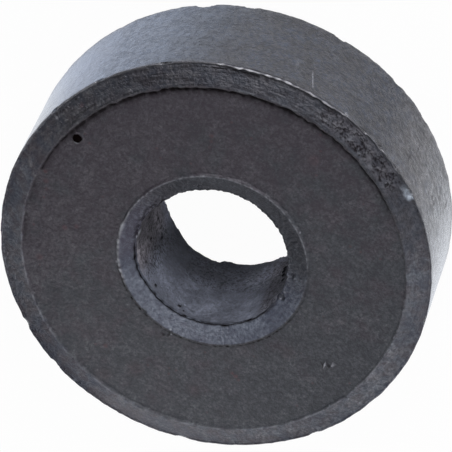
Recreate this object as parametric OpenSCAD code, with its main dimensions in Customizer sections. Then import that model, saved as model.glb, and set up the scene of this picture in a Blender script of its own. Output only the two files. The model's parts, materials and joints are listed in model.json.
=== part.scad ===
// Ring magnet, pressed from ferrite powder and sintered: one hard, brittle solid.
// It lies on its lower lips. +Z runs along the bore, and the origin is on the
// bore's axis at the height of the surface that the ring rests on.

/* [Ring] */
// Outside diameter of the plain wall
outer_d = 28; // [22:0.5:40]
// Diameter of the plain bore
bore_d = 10; // [6:0.5:13]
// Height over the lips of the two faces
ring_h = 9; // [4:0.5:20]

/* [Pressed faces] */
// Depth of each flat face below its lips
face_sink = 0.13; // [0.05:0.01:0.3]
// Width of the flat land on each lip
land_w = 0.1; // [0.06:0.02:0.4]
// Width of the slope that drops from a land to the face
slope_w = 0.1; // [0.05:0.05:0.2]

/* [Bevels] */
// Width of the bevel round the outside edge
rim_bevel_w = 1.45; // [0.6:0.05:2]
// Depth of the bevel round the outside edge
rim_bevel_h = 0.65; // [0.3:0.05:1]
// Width of the bevel round the bore
bore_bevel_w = 1.1; // [0.6:0.05:1.6]
// Depth of the bevel round the bore
bore_bevel_h = 0.7; // [0.3:0.05:1]

/* [Flash] */
// Thickness of the flash that the punches leave at the outside wall
rim_flash_w = 0.14; // [0.08:0.02:0.3]
// Height of that flash above the foot of its bevel
rim_flash_h = 0.14; // [0.06:0.02:0.3]
// Height of the burr, where the flash stands tallest
burr_h = 0.28; // [0.16:0.02:0.36]
// Thickness of the flash at the bore
bore_flash_w = 0.12; // [0.08:0.02:0.3]
// Height of the flash at the bore
bore_flash_h = 0.1; // [0.06:0.02:0.3]

/* [Flaws] */
// Diameter of the round pore near the edge of the upper face
pore_d = 0.55; // [0.3:0.05:1]
// Diameter of the shallow pits
pit_d = 0.5; // [0.3:0.05:0.8]
// Depth of the scoops broken out of the edges
chip_depth = 0.2; // [0.1:0.02:0.3]

/* [Hidden] */

ferrite_grey = [0.26, 0.26, 0.28];
round_fn = 180;
flaw_fn = 24;

outer_r = outer_d / 2;
bore_r = bore_d / 2;
half_h = ring_h / 2;

// Radii of the upper face, from the bore outwards
bore_land_r = bore_r + bore_bevel_w;
face_in_r = bore_land_r + land_w + slope_w;
rim_land_r = outer_r - rim_bevel_w;
face_out_r = rim_land_r - land_w - slope_w;

// Heights above the middle of the ring
face_z = half_h - face_sink;
rim_foot_z = half_h - rim_bevel_h;
bore_foot_z = half_h - bore_bevel_h;

// The flash narrows to a blunt tip on the wall that the die gave it
tip_share = 0.4;

// Stretches of burr: start angle, sweep, height as a share of burr_h
burr_runs = [
    [256, 7, 0.75],
    [263.5, 18, 1],
    [282, 9, 0.75],
];

// Pits in the upper face: angle, place across the face from 0 at the bore's
// lip to 1 at the rim's lip, diameter, depth
face_pits = [
    [337.5, 0.91, pore_d, pore_d * 0.75],
    [156.4, 0.6, pit_d * 0.8, pit_d * 0.3],
    [157.5, 0.64, pit_d, pit_d * 0.35],
    [81, 0.08, pit_d, pit_d * 0.3],
];

// Scoops broken out of the upper edge of the outside wall: angle, diameter of
// the scoop, depth as a share of chip_depth
upper_rim_chips = [
    [225.5, 1.3, 1.1],
    [234, 1.8, 0.6],
    [241, 1.2, 0.8],
    [247, 2.2, 0.5],
    [303, 2.6, 0.5],
    [337, 1.6, 0.7],
    [47, 1.6, 0.7],
    [101, 2, 0.6],
    [187, 2.4, 0.6],
];
lower_rim_chips = [
    [299, 2.4, 1],
    [262, 2.8, 0.5],
    [243, 2, 0.5],
];

// Scoops out of the lip round the bore
bore_chips = [
    [63, 0.9, 0.7],
    [118, 1.4, 0.4],
    [198, 1, 0.6],
    [283, 1.2, 0.4],
    [350, 1.1, 0.6],
];

// Pits in the outside wall: angle, height above the lower lips, diameter, depth
wall_pits = [
    [216, 4.8, pit_d, 0.12],
    [222, 2.2, pit_d * 0.9, 0.1],
    [227, 4.5, pit_d * 1.2, 0.1],
    [266, 6.2, pit_d * 0.8, 0.08],
];

// Lumps of powder pressed into the step inside the rim's lip: angle, diameter
lumps = [[302.2, 0.36], [300.3, 0.26]];
lump_drop = 0.03;

// Height that a bevel gains over a distance in from its wall
function bevel_rise(distance, width, depth) = depth * distance / width;

// Foot of the rim's flash, on its bevel
rim_flash_foot = [
    outer_r - rim_flash_w,
    rim_foot_z + bevel_rise(rim_flash_w, rim_bevel_w, rim_bevel_h)
];

// The upper pressed face in section, from the bore to the outside wall:
// flash, bevel, lip, sunk face, lip, bevel, flash
upper_profile = [
    [bore_r, bore_foot_z + bore_flash_h],
    [bore_r + bore_flash_w * tip_share, bore_foot_z + bore_flash_h],
    [bore_r + bore_flash_w, bore_foot_z + bevel_rise(bore_flash_w, bore_bevel_w, bore_bevel_h)],
    [bore_land_r, half_h],
    [bore_land_r + land_w, half_h],
    [face_in_r, face_z],
    [face_out_r, face_z],
    [rim_land_r - land_w, half_h],
    [rim_land_r, half_h],
    rim_flash_foot,
    [outer_r - rim_flash_w * tip_share, rim_foot_z + rim_flash_h],
    [outer_r, rim_foot_z + rim_flash_h],
];

// The lower face is pressed by a punch of the same shape
lower_profile = [
    for (i = [len(upper_profile) - 1:-1:0]) [upper_profile[i].x, -upper_profile[i].y]
];

module section() {
    polygon(concat(upper_profile, lower_profile));
}

// The taller flash over one stretch of the upper rim
module burr(start, sweep, height) {
    rotate(start)
        rotate_extrude(angle = sweep, $fn = round_fn)
            polygon([
                [outer_r - rim_flash_w, rim_foot_z],
                rim_flash_foot,
                [outer_r - rim_flash_w * tip_share, rim_foot_z + height],
                [outer_r, rim_foot_z + height],
                [outer_r, rim_foot_z],
            ]);
}

// It stays lower than the lip
module lump(angle, d) {
    rotate(angle)
        translate([face_out_r, 0, half_h - lump_drop - d / 2]) sphere(d = d, $fn = flaw_fn);
}

// A ball that cuts a scoop of the given depth down into a surface at height z
module scoop_down(angle, radius, z, d, depth) {
    rotate(angle) translate([radius, 0, z + d / 2 - depth]) sphere(d = d, $fn = flaw_fn);
}

// The same, into the outside wall
module scoop_in(angle, z, d, depth) {
    rotate(angle) translate([outer_r + d / 2 - depth, 0, z]) sphere(d = d, $fn = flaw_fn);
}

// The same, into an edge of the outside wall. up is 1 at the upper edge and -1
// at the lower one.
module scoop_edge(angle, up, d, depth) {
    away = (d / 2 - depth) * sqrt(0.5);
    rotate(angle)
        translate([outer_r + away, 0, up * (rim_foot_z + rim_flash_h + away)])
            sphere(d = d, $fn = flaw_fn);
}

module flaws() {
    for (p = face_pits)
        scoop_down(p[0], face_in_r + p[1] * (face_out_r - face_in_r), face_z, p[2], p[3]);
    for (c = upper_rim_chips)
        scoop_edge(c[0], 1, c[1], c[2] * chip_depth);
    for (c = lower_rim_chips)
        scoop_edge(c[0], -1, c[1], c[2] * chip_depth);
    for (c = bore_chips)
        scoop_down(c[0], bore_land_r + land_w / 2, half_h, c[1], c[2] * chip_depth);
    for (p = wall_pits)
        scoop_in(p[0], p[1] * ring_h / 9 - half_h, p[2], p[3]);
}

module ferrite_ring() {
    color(ferrite_grey)
        translate([0, 0, half_h])
            difference() {
                union() {
                    rotate_extrude($fn = round_fn) section();
                    for (run = burr_runs)
                        burr(run[0], run[1], run[2] * burr_h);
                    for (l = lumps)
                        lump(l[0], l[1]);
                }
                flaws();
            }
}

ferrite_ring();
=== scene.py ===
"""Pressed and sintered ferrite ring magnet: its finished surface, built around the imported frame.

The frame gives the ring's size, its bore and its place. The pressed faces, the flash that the punches
leave, the chips and the grain are modelled here on one fine mesh.
"""

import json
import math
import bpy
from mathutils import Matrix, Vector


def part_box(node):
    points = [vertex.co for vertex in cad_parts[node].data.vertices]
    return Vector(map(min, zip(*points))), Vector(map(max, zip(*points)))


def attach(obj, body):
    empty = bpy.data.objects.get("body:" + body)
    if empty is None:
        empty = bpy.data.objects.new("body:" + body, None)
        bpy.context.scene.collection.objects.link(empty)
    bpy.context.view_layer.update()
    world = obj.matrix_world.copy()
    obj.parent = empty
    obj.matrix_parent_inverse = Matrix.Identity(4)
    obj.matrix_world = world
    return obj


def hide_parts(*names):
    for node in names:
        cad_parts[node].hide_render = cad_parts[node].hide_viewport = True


bl_info = {
    "name": "Ferrite Ring Magnet",
    "version": (1, 0, 0),
    "blender": (4, 5, 0),
    "location": "View3D > Sidebar > Ring Magnet",
    "description": "Builds a sintered ferrite ring magnet and its stage",
    "category": "Add Mesh",
}

import bmesh
import bpy
import numpy as np
from bpy.props import FloatProperty, FloatVectorProperty, PointerProperty
from mathutils import Matrix, Vector, noise

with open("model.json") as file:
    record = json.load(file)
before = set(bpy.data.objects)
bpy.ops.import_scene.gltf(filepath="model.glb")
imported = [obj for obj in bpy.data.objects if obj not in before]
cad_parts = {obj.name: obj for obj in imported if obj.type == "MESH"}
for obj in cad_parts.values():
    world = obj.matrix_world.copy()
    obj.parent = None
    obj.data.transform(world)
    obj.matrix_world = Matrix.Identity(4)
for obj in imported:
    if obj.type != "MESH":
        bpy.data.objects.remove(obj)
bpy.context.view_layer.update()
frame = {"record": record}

MM = 0.001
TAU = 2 * math.pi
NODE = "ferrite_ring"
BODY = "root"


def mount(name):
    """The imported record's mount of that name."""
    return next(m for m in frame["record"]["mounts"] if m["name"] == name)


LOW_CORNER, HIGH_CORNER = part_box(NODE)
OUTER_R = mount("outer_wall")["dims"]["r_mm"]
BORE_R = mount("bore")["dims"]["r_mm"]
RING_H = (HIGH_CORNER.z - LOW_CORNER.z) / MM


# ---------------------------------------------------------------- settings


def size(name, description, default):
    """A property that holds a length in millimetres."""
    return FloatProperty(name=name, description=description + ", in mm", default=default, precision=3)


def angle(name, description, degrees):
    """A property that holds an angle."""
    return FloatProperty(name=name, description=description, default=math.radians(degrees), subtype="ANGLE")


def colour(name, description, default):
    """A property that holds a colour."""
    return FloatVectorProperty(name=name, description=description, default=default, subtype="COLOR",
                               size=3, min=0, max=1)


class RingSizes(bpy.types.PropertyGroup):
    """Sizes of the pressed section."""

    outer_r: size("Outside radius", "Radius of the plain outside wall", OUTER_R)
    bore_r: size("Bore radius", "Radius of the plain bore", BORE_R)
    height: size("Height", "Height over the lips of both faces", RING_H)
    face_sink: size("Face sink", "Depth of each flat face below its lips", 0.13)
    land_w: size("Lip land", "Width of the land on each lip", 0.1)
    slope_w: size("Lip slope", "Width of the slope from a land down to the face", 0.1)
    moat_w: size("Moat width", "Width of the worn groove at the foot of the rim's lip", 0.16)
    rim_bevel_w: size("Rim bevel width", "Width of the bevel at the outside", 1.45)
    rim_bevel_h: size("Rim bevel depth", "Depth of the bevel at the outside", 0.65)
    bore_bevel_w: size("Bore bevel width", "Width of the bevel at the bore", 1.1)
    bore_bevel_h: size("Bore bevel depth", "Depth of the bevel at the bore", 0.7)
    rim_flash_w: size("Rim flash thickness", "Thickness of the outside flash", 0.14)
    rim_flash_h: size("Rim flash height", "Usual height of the outside flash", 0.14)
    burr_h: size("Burr height", "Height of the outside flash where it stands tallest", 0.3)
    bore_flash_w: size("Bore flash thickness", "Thickness of the flash at the bore", 0.12)
    bore_flash_h: size("Bore flash height", "Usual height of the flash at the bore", 0.1)
    corner_r: size("Corner rounding", "How far each corner of the section is rounded", 0.03)


class FerriteFinish(bpy.types.PropertyGroup):
    """Colours of the sintered ferrite, and of the light and shade painted on it."""

    body: colour("Ferrite", "Grey of the pressed faces", (0.0233, 0.0250, 0.0248))
    warm_cast: colour("Warm cast", "Tint added to the faces in some patches", (0.0062, 0.0, 0.0088))
    cool_cast: colour("Cool cast", "Tint added between the warm patches", (0.0, 0.0028, 0.0098))
    edge: colour("Rim bevel", "Grey of the rim's bevels", (0.0545, 0.0590, 0.060))
    smoky: colour("Smoky rim", "Brownish grey of one side of the rim", (0.047, 0.0455, 0.041))
    rim_warm: colour("Warm rim cast", "Tint added to the rim in some patches", (0.0080, 0.0008, 0.0105))
    rim_cool: colour("Cool rim cast", "Tint added to the rim between them", (0.0, 0.0048, 0.0230))
    # Painted sheen: paler colours at the two grazing ends of the outside wall
    wall_end_sheen: colour("Dusty wall", "Paler grey of one end of the outside wall", (0.125, 0.125, 0.128))
    other_wall_end_sheen: colour("Misty wall", "Paler blue of its other end", (0.060, 0.078, 0.110))
    wall: colour("Outside wall", "Bluish grey of the wall that the die polished", (0.017, 0.026, 0.043))
    worn: colour("Worn wall", "Brownish grey patches of the outside wall", (0.021, 0.025, 0.034))
    bore_bevel: colour("Bore bevel", "Grey of the bevel at the bore", (0.073, 0.084, 0.092))
    bevel_cast: colour("Cast of the bore bevel", "Bluish tint added to it", (0.007, 0.010, 0.032))
    bevel_warm: colour("Left bevel cast", "Purplish tint at the left of that bevel", (0.017, 0.010, 0.030))
    # Painted bounce light low in the bore
    bounce_light: colour("Dust in the bore", "Brownish grey dust low in the bore", (0.140, 0.138, 0.150))
    sooty: colour("Sooty bore", "Brownish grey of the bore's uneven side", (0.150, 0.138, 0.145))
    bore_wall: colour("Bore wall", "Pale bluish grey inside the bore", (0.140, 0.154, 0.186))
    # Painted highlights of the lips, and pale chips, crumbs and a scratch
    lip: colour("Rubbed lip", "Lighter grey of the lips and of small chips", (0.40, 0.42, 0.45))
    # Painted glint on the tips of the flash
    flash_glint: colour("Burnished flash", "Flash tips polished by the die", (0.62, 0.63, 0.65))
    # Painted shade in pits, pores, cracks and shadow lines, and soot, nicks and scuffs
    shade_and_grime: colour("Crevices", "Floors of pores and cracks", (0.006, 0.0035, 0.0035))
    rust: colour("Iron stain", "Reddish brown of unreacted powder", (0.060, 0.016, 0.022))
    fresh: colour("Fresh chip", "Pale bluish grey of a small chip", (0.36, 0.42, 0.48))


class StageSettings(bpy.types.PropertyGroup):
    """Camera and light."""

    tilt: angle("View tilt", "Angle between the bore's axis and the view", 31.86)
    roll: angle("Camera roll", "Turn of the camera about its view", -156.9)
    distance: size("Camera distance", "From the middle of the ring to the camera", 283)
    lens_mm: FloatProperty(name="Lens", description="Focal length on a 36 mm sensor, in mm", default=350.4)


# ---------------------------------------------------------------- the pressed section


def wave(theta, low, high, seed):
    """Smooth noise round the ring, about -1 to 1, of low to high waves a turn, so that it closes."""
    rng = np.random.default_rng(seed)
    turns = np.arange(low, high + 1)
    phase = rng.uniform(0, TAU, len(turns))
    share = rng.uniform(0.3, 1, len(turns))
    total = sum(a * np.sin(k * theta + p) for k, p, a in zip(turns, phase, share))
    return total / math.sqrt(2 * (share ** 2).sum())


def unit(values):
    """The values, held between 0 and 1."""
    return np.clip(values, 0, 1)


def ease(values):
    """The values, held between 0 and 1, with a smooth start and end."""
    t = unit(values)
    return t * t * (3 - 2 * t)


def ridge(gap, width):
    """1 on a line, falling off over about width on both sides of it."""
    return np.exp(-(gap / width) ** 2)


def stretch(theta, start_deg, end_deg, fade_deg):
    """1 between two angles, falling smoothly to 0 over fade_deg outside them."""
    middle = math.radians((start_deg + end_deg) / 2)
    gap = np.abs((theta - middle + math.pi) % TAU - math.pi)
    return ease(1 - (np.degrees(gap) - (end_deg - start_deg) / 2) / fade_deg)


def stretches(theta, *runs):
    """The sum of several stretches, each with its share before its angles."""
    return sum(share * stretch(theta, *angles) for share, *angles in runs)


def bore_lean(theta, upper):
    """How far the flash at the bore leans outward, in mm. The upper one leans in on one side."""
    above = stretches(theta, (-0.06, 290, 335, 15), (0.10, 355, 395, 20))
    above = above - 0.10 - 0.12 * np.cos(theta - math.radians(195))
    below = stretches(theta, (0.24, 70, 92, 14), (-0.16, 98, 102, 4)) - 0.06
    return upper * above + (1 - upper) * below


def flash_beads(theta):
    """How thick the tall flash is round the ring: it comes and goes in short beads."""
    return np.clip(wave(theta, 60, 150, 71) + 0.4 * wave(theta, 10, 40, 84), -1, 1)


class Section:
    """The ring's section in mm: a closed line of corners whose places vary round the ring."""

    # How far the section follows each wall before it runs on straight, and the least heights of the
    # flash at the bore and the rim and width of the rim's step, in mm
    WALL_RUN = 0.4
    LEAST_BORE_TIP, LEAST_RIM_TIP, LEAST_STEP = 0.03, 0.05, 0.03
    # Angles in the table of corners, and which corner is the tip of the upper rim's flash
    STEPS = 8192
    RIM_TIP = 22
    # The two pressed faces, as the first seed of each one's waves
    UPPER, LOWER = 100, 200
    # How places on the section wander: seed, fewest and most waves a turn, and how far in mm. The
    # burr's is a share of its height
    WANDER = {
        "bore_tip": ((1, 20, 110, 0.03), (2, 3, 12, 0.03)),
        "rim_tip": ((3, 30, 200, 0.03), (4, 3, 14, 0.03)),
        "burr": ((12, 60, 260, 0.25),),
        "lean": ((5, 12, 60, 0.03), (9, 60, 180, 0.012)),
        "bore_land": ((6, 3, 60, 0.03), (10, 70, 200, 0.02)),
        "rim_land": ((7, 3, 40, 0.025),),
        "near_step": ((11, 30, 110, 0.055),),
        "rim_step": ((13, 90, 220, 0.012),),
        "dip": ((14, 40, 160, 0.03),),
        "moat": ((16, 20, 120, 0.03),),
        "wall": ((8, 25, 70, 0.02), (15, 3, 14, 0.015)),
    }

    def __init__(self, sizes):
        self.sizes = sizes
        plain = self.corners(np.zeros(1), plain=True)[:, :, 0]
        self.plain = np.vstack([plain, plain[:1]])
        self.at = np.concatenate([[0], np.cumsum(np.hypot(*np.diff(self.plain, axis=0).T))])
        self.total = self.at[-1]
        self.grid = np.arange(self.STEPS + 1) * TAU / self.STEPS
        table = self.corners(self.grid)
        self.table = np.concatenate([table, table[:1]])

    def half(self, theta, face, plain):
        """(r, z above the middle) of one pressed face's corners, from the bore to the outside wall."""
        s = self.sizes
        flat = np.zeros_like(theta)

        def vary(name):
            waves = () if plain else self.WANDER[name]
            return flat + sum(far * wave(theta, low, high, face + seed) for seed, low, high, far in waves)

        upper = flat + (face == self.UPPER and not plain)
        near = flat if plain else stretch(theta, 252, 318, 25)
        tall = upper * stretch(theta, 258, 284, 6)
        top = s.height / 2
        deck = top - s.face_sink + flat
        bore_foot, rim_foot = top - s.bore_bevel_h, top - s.rim_bevel_h
        bore_tip = bore_foot + s.bore_flash_h + vary("bore_tip")
        bore_tip = bore_tip + 0.06 * upper * stretch(theta, 10, 170, 25)
        bore_tip = np.maximum(bore_tip, bore_foot + self.LEAST_BORE_TIP)
        rim_tip = rim_foot + s.rim_flash_h + vary("rim_tip")
        rim_tip = rim_tip + tall * (s.burr_h - s.rim_flash_h) * (1 + vary("burr"))
        rim_tip = np.maximum(rim_tip, rim_foot + self.LEAST_RIM_TIP)
        shift = flat if plain else bore_lean(theta, upper)
        bore_edge = s.bore_r + shift + vary("lean")
        bore_land = s.bore_r + s.bore_bevel_w + vary("bore_land")
        bore_step = bore_land + s.land_w + s.slope_w
        rim_land = s.outer_r - s.rim_bevel_w + vary("rim_land")
        rim_step = rim_land - s.land_w + near * vary("near_step") + vary("rim_step")
        rim_step = np.minimum(rim_step, rim_land - self.LEAST_STEP)
        dip = np.abs(vary("dip"))
        moat = upper * stretch(theta, 236, 305, 25) * np.clip(0.07 + vary("moat"), 0.02, 0.2)
        wall = s.outer_r + vary("wall")
        thick = (0.4 + tall * (0.40 + 0.3 * flash_beads(theta))) * s.rim_flash_w
        bore_root = bore_foot + s.bore_bevel_h * s.bore_flash_w / s.bore_bevel_w
        rim_root = rim_foot + s.rim_bevel_h * s.rim_flash_w / s.rim_bevel_w
        return [
            (s.bore_r + flat, bore_foot - self.WALL_RUN + flat),
            (bore_edge, bore_tip),
            (bore_edge + 0.4 * s.bore_flash_w, bore_tip),
            (s.bore_r + s.bore_flash_w + shift, bore_root + flat),
            (bore_land, top - dip),
            (bore_land + s.land_w, top - dip),
            (bore_step, deck),
            (bore_step + s.moat_w, deck),
            (rim_step - s.slope_w - s.moat_w, deck),
            (rim_step - s.slope_w, deck - moat),
            (rim_step, top - dip),
            (rim_land, top - 0.3 * dip),
            (s.outer_r - s.rim_flash_w + flat, rim_root + flat),
            (wall - thick, rim_tip),
            (wall, rim_tip),
            (s.outer_r + flat, rim_foot - self.WALL_RUN + flat),
        ]

    def corners(self, theta, plain=False):
        """Array of (corner, r or z, angle), from the middle of the lower face round by the bore."""
        upper = self.half(theta, self.UPPER, plain)
        lower = [(r, -z) for r, z in reversed(self.half(theta, self.LOWER, plain))]
        middle = len(lower) // 2
        face_out, face_in = lower[middle - 1], lower[middle]
        start = ((face_out[0] + face_in[0]) / 2, (face_out[1] + face_in[1]) / 2)
        loop = [start] + lower[middle:] + upper + lower[:middle]
        return np.array([(r, z + self.sizes.height / 2) for r, z in loop])

    def points(self, along, theta):
        """r and z at lengths along the section and angles round the ring, with each corner rounded."""
        turn = (theta % TAU) * self.STEPS / TAU
        low = turn.astype(int) % self.STEPS
        part = (turn - low)[:, None]
        total = 0
        taps = (-1, -0.5, 0, 0.5, 1)
        for tap in taps:
            s = (along + tap * self.sizes.corner_r) % self.total
            i = np.clip(np.searchsorted(self.at, s, side="right") - 1, 0, len(self.at) - 2)
            t = ((s - self.at[i]) / (self.at[i + 1] - self.at[i]))[:, None]
            start, end = (self.table[k, :, low] * (1 - part) + self.table[k, :, low + 1] * part
                          for k in (i, i + 1))
            total = total + start * (1 - t) + end * t
        return (total / len(taps)).T

    def rim_tip(self, theta):
        """Height of the upper rim's flash at each angle."""
        return np.interp(theta % TAU, self.grid, self.table[self.RIM_TIP, 1])

    def rows(self):
        """The mesh's rows as (length along the section, columns round the ring)."""
        found = []
        soft = self.sizes.corner_r
        for i, (a, b) in enumerate(zip(self.at[:-1], self.at[1:])):
            r, z = (self.plain[i] + self.plain[i + 1]) / 2
            columns, spacing = self.fineness(r, z)
            inner = max(0, math.ceil((b - a) / spacing) - 1)
            marks = {a, a + soft, b - soft} | set(np.linspace(a, b, inner + 2)[1:-1])
            marks = sorted(m for m in marks if a <= m < b)
            kept = [marks[0]]
            for mark in marks[1:]:
                if mark - kept[-1] > 0.6 * soft:
                    kept.append(mark)
            found += [(m, columns) for m in kept]
        return found

    def fineness(self, r, z):
        """(columns, spacing of the rows) for a stretch whose middle is at r, z."""
        s = self.sizes
        upper = z > s.height / 2
        at_rim = r > s.outer_r - s.rim_bevel_w - s.land_w - 2 * s.slope_w
        at_bore = r < s.bore_r + s.bore_bevel_w + s.land_w + 2 * s.slope_w
        on_wall = abs(z - s.height / 2) < s.height / 2 - s.rim_bevel_h
        if on_wall:
            return (576, 0.7) if at_rim else (288, 0.6)
        if at_rim:
            return (1152, 0.14) if upper else (288, 0.8)
        if at_bore:
            return (576, 0.12) if upper else (144, 0.5)
        return (288, 0.35) if upper else (144, 1.2)


# ---------------------------------------------------------------- flaws in the surface

# Pits in the upper face: angle, radius, diameter, depth
FACE_PITS = (
    (337.5, 11.77, 0.72, 0.72), (156.4, 9.9, 0.2, 0.05), (157.6, 10.22, 0.28, 0.05),
    (81, 6.7, 0.24, 0.05), (83.5, 6.45, 0.18, 0.04),
)

# Scoops broken out of edges, by the radius and height of the edge: angle, diameter of the scoop, depth
BROKEN_EDGES = (
    (OUTER_R - 0.22, RING_H - 0.48, (226.3, 1.2, 0.13)),
    (OUTER_R - 0.05, RING_H - 0.51, (234, 1.8, 0.1), (241, 1.2, 0.14), (247, 2.2, 0.08),
     (303, 2.6, 0.08), (321.5, 1.5, 0.1), (337, 1.6, 0.13), (20, 1.8, 0.07),
     (47, 1.6, 0.12), (61, 2.2, 0.08), (101, 2, 0.1), (138, 1.6, 0.08),
     (187, 2.4, 0.1)),
    (OUTER_R - 0.05, 0.51, (299, 2.4, 0.19), (287, 2.6, 0.07), (262, 2.8, 0.1),
     (243, 2, 0.1), (231, 1.6, 0.08)),
    (BORE_R + 1.15, RING_H, (63, 0.8, 0.13), (118, 1.4, 0.07), (198, 1, 0.1),
     (283, 1.2, 0.07), (350, 1.1, 0.1)),
    (BORE_R - 0.03, RING_H - 0.64, (171, 0.55, 0.16), (192, 0.6, 0.18)),
)
SCOOPS = [(a, r, z, d, cut) for r, z, *found in BROKEN_EDGES for a, d, cut in found]

# Pits in the walls, by the radius of the wall: angle, height, diameter, depth
PITTED_WALLS = (
    (OUTER_R, (217, 4.9, 0.16, 0.04), (215.7, 4.7, 0.16, 0.04), (215.2, 5.15, 0.14, 0.04),
     (208.5, 2.4, 0.2, 0.05), (233.3, 5.8, 0.13, 0.03), (232.1, 5.75, 0.15, 0.04),
     (231, 5.85, 0.15, 0.04), (229, 3.8, 0.12, 0.03), (227, 3.2, 0.14, 0.03)),
    (BORE_R, (55.7, 7.8, 0.3, 0.12), (80, 7.76, 0.3, 0.12), (84.5, 8, 0.2, 0.08),
     (156.5, 3.1, 0.44, 0.14), (157.2, 3.65, 0.5, 0.16), (158, 4.2, 0.44, 0.14),
     (159, 4.85, 0.34, 0.08), (152, 4.6, 0.2, 0.06), (168, 7.3, 0.26, 0.08),
     (28.9, 2.95, 0.24, 0.07), (43, 3.32, 0.26, 0.08), (31.6, 5.2, 0.24, 0.07),
     (12, 5.46, 0.22, 0.07), (24, 4.2, 0.2, 0.05), (41, 4.8, 0.16, 0.05),
     (28, 6.1, 0.18, 0.05), (38, 2.6, 0.16, 0.05)),
)
# Pits in the rim's bevel: angle, radius, height, diameter, depth
BEVEL_PITS = (
    (337.1, 13.7, 8.48, 0.24, 0.05), (336, 13.67, 8.5, 0.26, 0.05), (334.7, 13.61, 8.52, 0.2, 0.05),
    (333.6, 13.59, 8.53, 0.18, 0.05), (329.9, 13.71, 8.48, 0.2, 0.05), (327.1, 13.32, 8.65, 0.18, 0.05),
    (328.8, 12.99, 8.8, 0.18, 0.05), (337.9, 13.1, 8.75, 0.18, 0.05),
)

# Lumps of powder pressed onto steps and edges: angle, radius, height, diameter
LUMPS = (
    (302.2, 12.36, 8.9, 0.34), (300.3, 12.38, 8.9, 0.24), (305, 12.42, 8.91, 0.18),
    (82.7, 6.1, 8.92, 0.22), (99, 5, 0.6, 0.66), (27, 5, 0.6, 0.9),
    (150, 5, 0.6, 0.8), (253.2, 13.97, 8.55, 0.3),
)

# Small pale chips and painted glints by pits and edges: angle, radius, height, width, how pale
PALE_CHIPS_AND_GLINTS = (
    (156.9, 9.98, 8.88, 0.13, 0.9), (155.6, 9.78, 8.88, 0.08, 0.8), (158.4, 10.34, 8.88, 0.07, 0.6),
    (82.7, 6.05, 8.95, 0.13, 0.8), (84.6, 6.4, 8.88, 0.1, 0.6), (12.2, 6.22, 8.98, 0.2, 0.7),
    (1.7, 6.25, 8.98, 0.14, 0.5), (19.3, 6.3, 8.95, 0.12, 0.4), (27.2, 6.3, 8.95, 0.2, 0.7),
    (32.6, 6.22, 8.98, 0.16, 0.6), (226, 6.28, 8.94, 0.12, 0.5), (339, 11.6, 8.87, 0.2, 0.35),
    (302.6, 12.34, 8.98, 0.2, 0.4), (300.1, 12.36, 8.96, 0.14, 0.4), (253.2, 13.97, 8.62, 0.34, 0.4),
    (338.1, 13.56, 8.55, 0.16, 0.5), (6.7, 5.03, 8.12, 0.32, 1), (9.5, 5.08, 8.42, 0.2, 0.7),
    (15, 4.98, 7.8, 0.14, 0.5), (176, 5.02, 8.4, 0.13, 0.55), (146, 5, 6.92, 0.14, 0.6),
    (269.8, 14, 5.9, 0.12, 0.15), (260.8, 14, 6.05, 0.12, 0.12),
)

# Painted shade in pits: a pit deeper than this, in mm, is painted as dark as a pore of the next depth, and
# others as the last
DEEP_PIT, FULL_DARK, FAINT_DARK = 0.055, 0.32, 0.16

# The longest edges wanted where the surface is plain and where it has detail, in mm
PLAIN_EDGE = 9.0
SCOOP_EDGE, CRACK_EDGE, FLASH_EDGE, WORM_EDGE, PIT_EDGE = 0.07, 0.06, 0.055, 0.05, 0.04


def at(angle_deg, r, z):
    """The point at an angle, a radius and a height, in mm."""
    a = math.radians(angle_deg)
    return np.array([r * math.cos(a), r * math.sin(a), z])


def gap_to(places, *point):
    """How far each place is from the point at an angle, a radius and a height, in mm."""
    return np.linalg.norm(places - at(*point), axis=1)


def pits(sizes):
    """All pits: angle, radius, height, diameter, depth."""
    deck = sizes.height - sizes.face_sink
    walls = [(a, r, z, d, cut) for r, *found in PITTED_WALLS for a, z, d, cut in found]
    return [(a, r, deck, d, cut) for a, r, d, cut in FACE_PITS] + walls + list(BEVEL_PITS)


def field(places, grain, octaves=3, seed=0):
    """Fractal noise at each place, about -1 to 1, with grains of the given size in mm."""
    shift = Vector((7.3, 3.1, 5.7)) * seed
    return np.array([noise.fractal(Vector(p) / grain + shift, 1.0, 2.0, octaves) for p in places])


def worms(places, theta, r, grain):
    """1 along the middle of short winding cracks that run mostly round the ring, 0 between them."""
    unrolled = np.stack([13.3 * theta / 1.6, r * 1.1, places[:, 2] * 0.5], axis=1)
    broken = unit(field(unrolled, 1.3 * grain, 1, 1) * 5 + 1.2)
    return ridge(field(unrolled, grain, 2), 0.19) * broken


def coarse_zone(theta, r, z, sizes):
    """Where the rim bevel is coarse and wormy, 0 to 1."""
    fade = 0.15
    rim_foot = sizes.height - sizes.rim_bevel_h
    on_bevel = unit((r - (sizes.outer_r - sizes.rim_bevel_w) - 0.1) / fade)
    on_bevel = on_bevel * unit((z - rim_foot + fade) / fade) * unit((sizes.outer_r - fade - r) / fade)
    return unit(stretches(theta, (1, 231, 256, 4), (0.3, 326, 338, 3), (0.2, 256, 266, 3))) * on_bevel


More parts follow.
